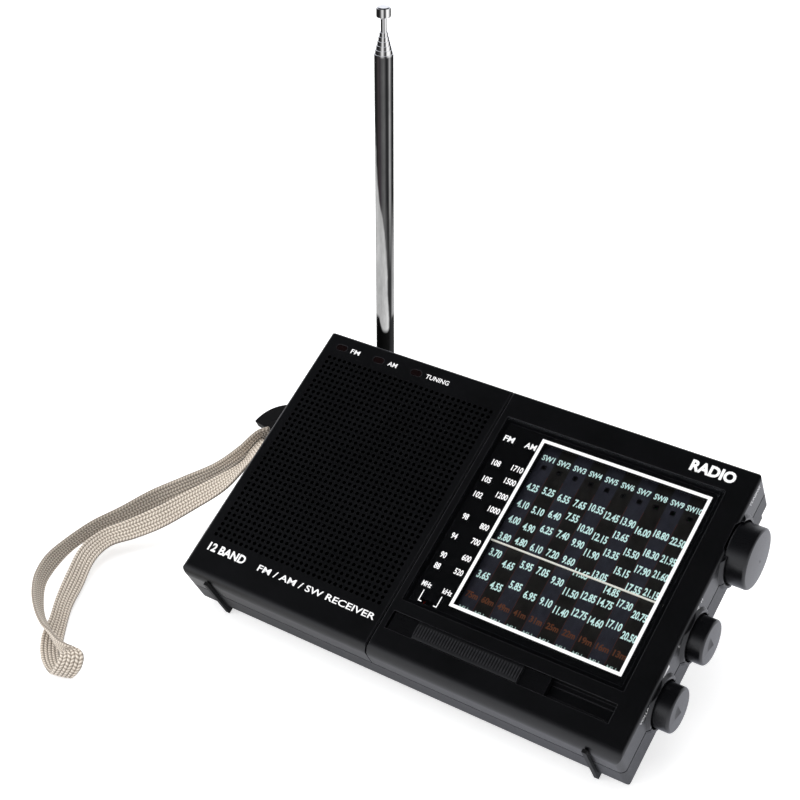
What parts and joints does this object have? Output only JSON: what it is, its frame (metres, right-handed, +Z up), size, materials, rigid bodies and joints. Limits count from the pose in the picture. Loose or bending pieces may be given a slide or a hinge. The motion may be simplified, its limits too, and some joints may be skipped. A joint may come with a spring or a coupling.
{
  "type": "shortwave receiver",
  "caption": "Portable multi-band shortwave radio with perforated speaker front, slide-rule dial, side knobs, band slider, telescopic antenna, fold-out stand and wrist strap.",
  "frame": {"origin": "middle of the flat bottom wall, 5 mm in front of the back, with the radio leaning back on its stand", "axes": "+X to the radio's right seen from the front, +Y away from the viewer, +Z up"},
  "size_m": [0.2272, 0.1479, 0.1864],
  "materials": {
    "shell_plastic": "fine satin black moulded plastic",
    "knob_plastic": "satin black moulded plastic",
    "window_plastic": "clear polished acrylic",
    "scale_print": "printed black scale",
    "indicator_red": "red",
    "lens_red": "dark red lens",
    "pointer_cream": "cream",
    "white_plastic": "natural nylon",
    "cord": "braided cord",
    "chrome": "polished",
    "steel": "bright steel",
    "ferrite": "dark ferrite",
    "copper_coil": "enamelled wire",
    "board": "green laminate",
    "cone_paper": "black paper",
    "cell_jacket": "printed jacket",
    "jack_plastic": "black",
    "rubber": "matte black",
    "webbing": "beige woven webbing"
  },
  "bodies": {
    "case": {"rear_cover": "shell_plastic", "speaker_cover": "shell_plastic", "dial_cover": "shell_plastic", "dial_window": "window_plastic", "scale_plate": "scale_print", "band_switch": "steel", "pointer_rail": "steel", "dial_cord": "cord", "cord_guides": "white_plastic", "tuning_capacitor": "white_plastic", "tuning_bracket": "steel", "tone_pot": "steel", "volume_pot": "steel", "circuit_board": "board", "board_screws": "steel", "led_board": "board", "fm_led": "lens_red", "am_led": "lens_red", "tuning_led": "lens_red", "speaker_frame": "steel", "speaker_cone": "cone_paper", "speaker_magnet": "ferrite", "speaker_gasket": "cone_paper", "ferrite_rod": "ferrite", "ferrite_coil": "copper_coil", "batteries": "cell_jacket", "battery_contacts": "steel", "stand_pin": "steel", "rubber_feet": "rubber", "case_screws": "steel", "headphone_jack": "jack_plastic", "dc_jack": "jack_plastic", "strap_pin": "steel"},
    "band_slide": {"band_slider": "knob_plastic", "band_indicator": "indicator_red"},
    "pointer": {"dial_pointer": "pointer_cream"},
    "drum": {"dial_drum": "white_plastic"},
    "tuning": {"tuning_shaft": "steel", "tuning_knob": "knob_plastic"},
    "tone": {"tone_shaft": "steel", "tone_knob": "knob_plastic"},
    "volume": {"volume_shaft": "steel", "volume_knob": "knob_plastic"},
    "door": {"battery_door": "shell_plastic"},
    "stand": {"kickstand": "shell_plastic"},
    "swivel": {"antenna_swivel": "chrome", "antenna_screw": "steel", "antenna_pin": "steel"},
    "antenna": {"antenna_tube": "chrome"},
    "antenna_2": {"antenna_section_2": "chrome"},
    "antenna_3": {"antenna_section_3": "chrome"},
    "antenna_4": {"antenna_section_4": "chrome"},
    "antenna_5": {"antenna_section_5": "chrome"},
    "antenna_6": {"antenna_section_6": "chrome"},
    "antenna_7": {"antenna_rod": "chrome"},
    "strap": {"strap_sleeve": "rubber", "wrist_strap": "webbing"}
  },
  "joints": [
    {"name": "tuning_turn", "type": "hinge", "parent": "case", "child": "tuning", "pos_m": [0.08, 0.06474, 0.04299], "axis": [1, 0, 0], "range_deg": [-396, 462]},
    {"name": "pointer_travel", "type": "slide", "parent": "case", "child": "pointer", "axis": [0, 0.8714, 0.4906], "range_m": [-0.0181, 0.0211]},
    {"name": "drum_turn", "type": "hinge", "parent": "case", "child": "drum", "pos_m": [0.06195, 0.05196, 0.03878], "axis": [0, -0.4906, 0.8714], "range_deg": [-99, 85]},
    {"name": "tone_turn", "type": "hinge", "parent": "case", "child": "tone", "pos_m": [0.08, 0.03825, 0.02807], "axis": [1, 0, 0], "range_deg": [-140, 140]},
    {"name": "volume_turn", "type": "hinge", "parent": "case", "child": "volume", "pos_m": [0.08, 0.01812, 0.01674], "axis": [1, 0, 0], "range_deg": [-140, 140]},
    {"name": "band_select", "type": "slide", "parent": "case", "child": "band_slide", "axis": [1, 0, 0], "range_m": [0, 0.021]},
    {"name": "door_slide", "type": "slide", "parent": "case", "child": "door", "axis": [0, -0.8714, -0.4906], "range_m": [0, 0.022]},
    {"name": "stand_fold", "type": "hinge", "parent": "case", "child": "stand", "pos_m": [0, 0.07598, 0.03015], "axis": [1, 0, 0], "range_deg": [-82.97, 0]},
    {"name": "antenna_swivel_turn", "type": "hinge", "parent": "case", "child": "swivel", "pos_m": [-0.0645, 0.08855, 0.04411], "axis": [0, 0.8714, 0.4906], "range_deg": [-90, 90]},
    {"name": "antenna_tilt", "type": "hinge", "parent": "swivel", "child": "antenna", "pos_m": [-0.0645, 0.08855, 0.04411], "axis": [1, 0, 0], "range_deg": [-150.62, 0]},
    {"name": "antenna_pull_2", "type": "slide", "parent": "antenna", "child": "antenna_2", "axis": [0, 0, 1], "range_m": [0, 0.098]},
    {"name": "antenna_pull_3", "type": "slide", "parent": "antenna_2", "child": "antenna_3", "axis": [0, 0, 1], "range_m": [0, 0.098]},
    {"name": "antenna_pull_4", "type": "slide", "parent": "antenna_3", "child": "antenna_4", "axis": [0, 0, 1], "range_m": [0, 0.098]},
    {"name": "antenna_pull_5", "type": "slide", "parent": "antenna_4", "child": "antenna_5", "axis": [0, 0, 1], "range_m": [0, 0.098]},
    {"name": "antenna_pull_6", "type": "slide", "parent": "antenna_5", "child": "antenna_6", "axis": [0, 0, 1], "range_m": [0, 0.098]},
    {"name": "antenna_pull_7", "type": "slide", "parent": "antenna_6", "child": "antenna_7", "axis": [0, 0, 1], "range_m": [0, 0.098]},
    {"name": "strap_swing", "type": "hinge", "parent": "case", "child": "strap", "pos_m": [-0.0784, 0.06057, 0.03754], "axis": [0, -0.4906, 0.8714], "range_deg": [-8, 8]}
  ],
  "couplings": [
    {"joint": "pointer_travel", "follows": "tuning_turn", "m_per_rad": 0.0026},
    {"joint": "drum_turn", "follows": "tuning_turn", "ratio": -0.21224}
  ]
}
